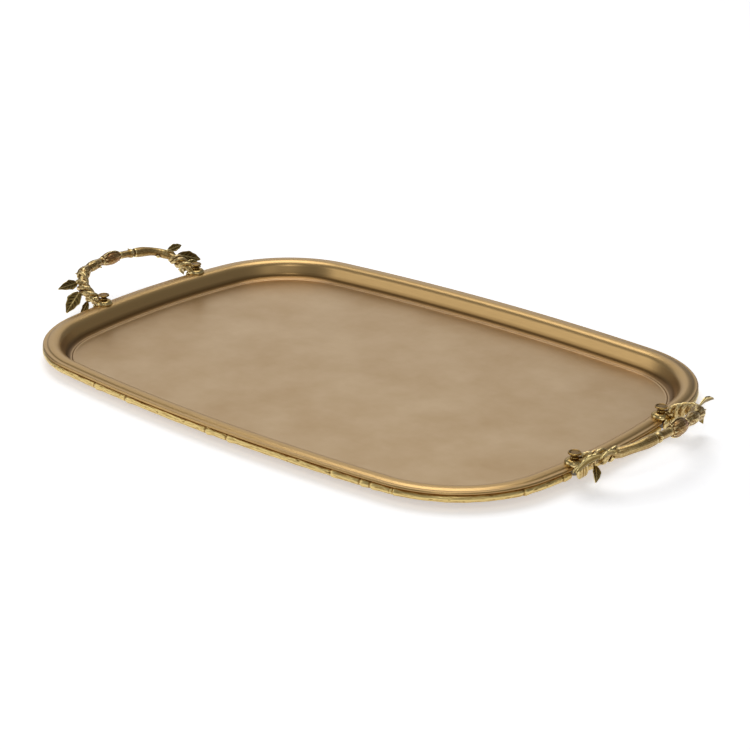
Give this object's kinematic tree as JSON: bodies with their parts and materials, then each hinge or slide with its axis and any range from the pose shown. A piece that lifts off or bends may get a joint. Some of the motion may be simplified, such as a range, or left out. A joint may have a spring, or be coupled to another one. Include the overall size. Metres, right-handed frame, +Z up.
{
  "type": "serving tray",
  "caption": "Rounded rectangular brass serving tray with a raised flange, twig border and two arched branch handles with leaves.",
  "frame": {"origin": "centre of the underside, on the surface that the tray stands on", "axes": "+X along the length from handle to handle, +Y across, +Z up"},
  "size_m": [0.6074, 0.3612, 0.0416],
  "materials": {
    "pan": "satin antique brass, pressed sheet",
    "border": "satin antique brass, cast twig",
    "branch": "antique brass, cast bark with dark recesses",
    "pod": "antique brass with a copper cast, knurled",
    "vine": "antique brass, drawn and wound",
    "leaf": "antique brass, veined, dark recesses",
    "boss": "antique brass, smooth cast",
    "stud": "turned brass, lightly polished",
    "fixing": "plain zinc-plated steel"
  },
  "bodies": {
    "root": {"tray_pan": "pan", "border_back": "border", "border_corner_back_right": "border", "border_corner_back_left": "border", "border_right": "border", "border_front": "border", "border_corner_front_left": "border", "border_corner_front_right": "border", "border_left": "border", "branch_long_right": "branch", "branch_short_right": "branch", "seed_pod_right": "pod", "vine_long_right": "vine", "vine_short_right": "vine", "leaf_long_right": "leaf", "leaf_broad_right": "leaf", "leaf_curled_right": "leaf", "leaf_spear_right": "leaf", "leaf_small_right": "leaf", "leaf_petal_right": "leaf", "leaf_hanging_right": "leaf", "foot_boss_right_a": "boss", "cap_stud_right_a": "stud", "saddle_washer_right_a": "fixing", "nut_right_a": "fixing", "foot_boss_right_b": "boss", "cap_stud_right_b": "stud", "saddle_washer_right_b": "fixing", "nut_right_b": "fixing", "branch_long_left": "branch", "branch_short_left": "branch", "seed_pod_left": "pod", "vine_long_left": "vine", "vine_short_left": "vine", "leaf_long_left": "leaf", "leaf_broad_left": "leaf", "leaf_curled_left": "leaf", "leaf_spear_left": "leaf", "leaf_small_left": "leaf", "leaf_petal_left": "leaf", "leaf_hanging_left": "leaf", "foot_boss_left_a": "boss", "cap_stud_left_a": "stud", "saddle_washer_left_a": "fixing", "nut_left_a": "fixing", "foot_boss_left_b": "boss", "cap_stud_left_b": "stud", "saddle_washer_left_b": "fixing", "nut_left_b": "fixing"}
  },
  "joints": []
}
